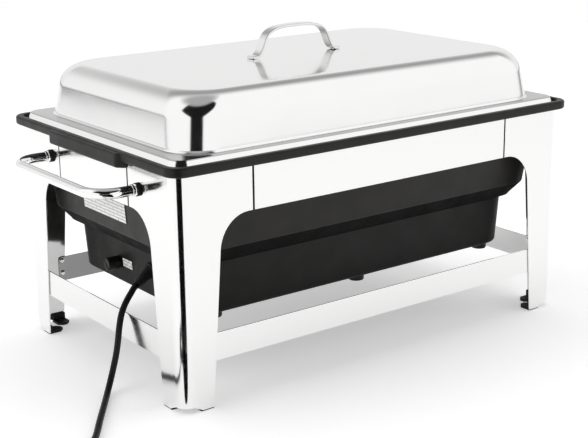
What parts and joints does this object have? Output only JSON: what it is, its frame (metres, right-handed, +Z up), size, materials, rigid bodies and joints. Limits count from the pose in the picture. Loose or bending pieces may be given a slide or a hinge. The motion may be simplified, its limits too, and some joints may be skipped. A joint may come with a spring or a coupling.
{
  "type": "electric buffet server",
  "caption": "Electric buffet server: a polished steel frame holds a black heated tub with a water tank, a food pan and a domed lid, with U-shaped side handles and a mains cord.",
  "frame": {"origin": "on the table, under the middle of the four-legged frame", "axes": "+X along the long side, away from the end with the cord and the reset button; -Y is the front; +Z up"},
  "size_m": [0.801, 0.49, 0.3574],
  "materials": {
    "polished_steel": "mirror-polished stainless steel sheet and bar",
    "strip_steel": "satin rolled stainless strip",
    "brushed_steel": "drawn stainless tray, fine brushed",
    "black_plastic": "moulded black, satin with a very fine grain",
    "black_rubber": "matt moulded rubber",
    "cord_black": "smooth matt cord sheath",
    "aluminium": "plain cast or pressed aluminium",
    "phenolic": "moulded phenolic",
    "label_white": "blank printed film label",
    "reset_red": "glossy moulded button"
  },
  "bodies": {
    "root": {"leg_front_left": "polished_steel", "leg_front_right": "polished_steel", "leg_rear_left": "polished_steel", "leg_rear_right": "polished_steel", "apron_front": "polished_steel", "apron_rear": "polished_steel", "apron_left": "polished_steel", "apron_right": "polished_steel", "rail_front": "strip_steel", "rail_rear": "strip_steel", "rail_left": "strip_steel", "rail_right": "strip_steel", "foot_pad_front_left_long": "black_rubber", "foot_pad_front_left_end": "black_rubber", "foot_pad_front_right_long": "black_rubber", "foot_pad_front_right_end": "black_rubber", "foot_pad_rear_left_long": "black_rubber", "foot_pad_rear_left_end": "black_rubber", "foot_pad_rear_right_long": "black_rubber", "foot_pad_rear_right_end": "black_rubber", "side_handle_left": "polished_steel", "handle_collar_left_front": "polished_steel", "handle_washer_left_front": "black_rubber", "handle_collar_left_rear": "polished_steel", "handle_washer_left_rear": "black_rubber", "side_handle_right": "polished_steel", "handle_collar_right_front": "polished_steel", "handle_washer_right_front": "black_rubber", "handle_collar_right_rear": "polished_steel", "handle_washer_right_rear": "black_rubber", "mains_cord": "cord_black", "cord_coil": "cord_black", "cord_tail": "cord_black", "plug": "cord_black"},
    "unit": {"tub_body": "black_plastic", "heater_housing": "black_plastic", "housing_foot_front_left": "black_plastic", "housing_foot_front_middle": "black_plastic", "housing_foot_front_right": "black_plastic", "housing_foot_rear_left": "black_plastic", "housing_foot_rear_middle": "black_plastic", "housing_foot_rear_right": "black_plastic", "water_tank": "brushed_steel", "heater_plate": "aluminium", "heating_element": "strip_steel", "thermostat": "aluminium", "thermal_cutout": "phenolic", "terminal_block": "phenolic", "strain_relief": "black_rubber", "rating_label": "label_white", "reset_label": "label_white"},
    "food_pan_body": {"food_pan": "brushed_steel"},
    "lid_body": {"lid_shell": "polished_steel", "lid_handle": "polished_steel", "lid_handle_screw_left": "strip_steel", "lid_handle_screw_right": "strip_steel"},
    "reset_cap_body": {"reset_cap": "black_plastic"},
    "reset_button_body": {"reset_button": "reset_red"}
  },
  "joints": [
    {"name": "unit_lift", "type": "slide", "parent": "root", "child": "unit", "axis": [0, 0, 1], "range_m": [0, 0.2]},
    {"name": "food_pan_lift", "type": "slide", "parent": "unit", "child": "food_pan_body", "axis": [0, 0, 1], "range_m": [0, 0.09]},
    {"name": "lid_lift", "type": "slide", "parent": "food_pan_body", "child": "lid_body", "axis": [0, 0, 1], "range_m": [0, 0.12]},
    {"name": "reset_cap_turn", "type": "hinge", "parent": "unit", "child": "reset_cap_body", "pos_m": [-0.236, 0.029, 0.107], "axis": [1, 0, 0], "continuous": true},
    {"name": "reset_button_press", "type": "slide", "parent": "unit", "child": "reset_button_body", "axis": [1, 0, 0], "range_m": [0, 0.002], "stiffness_N_per_m": 300, "springref_m": -0.001}
  ]
}
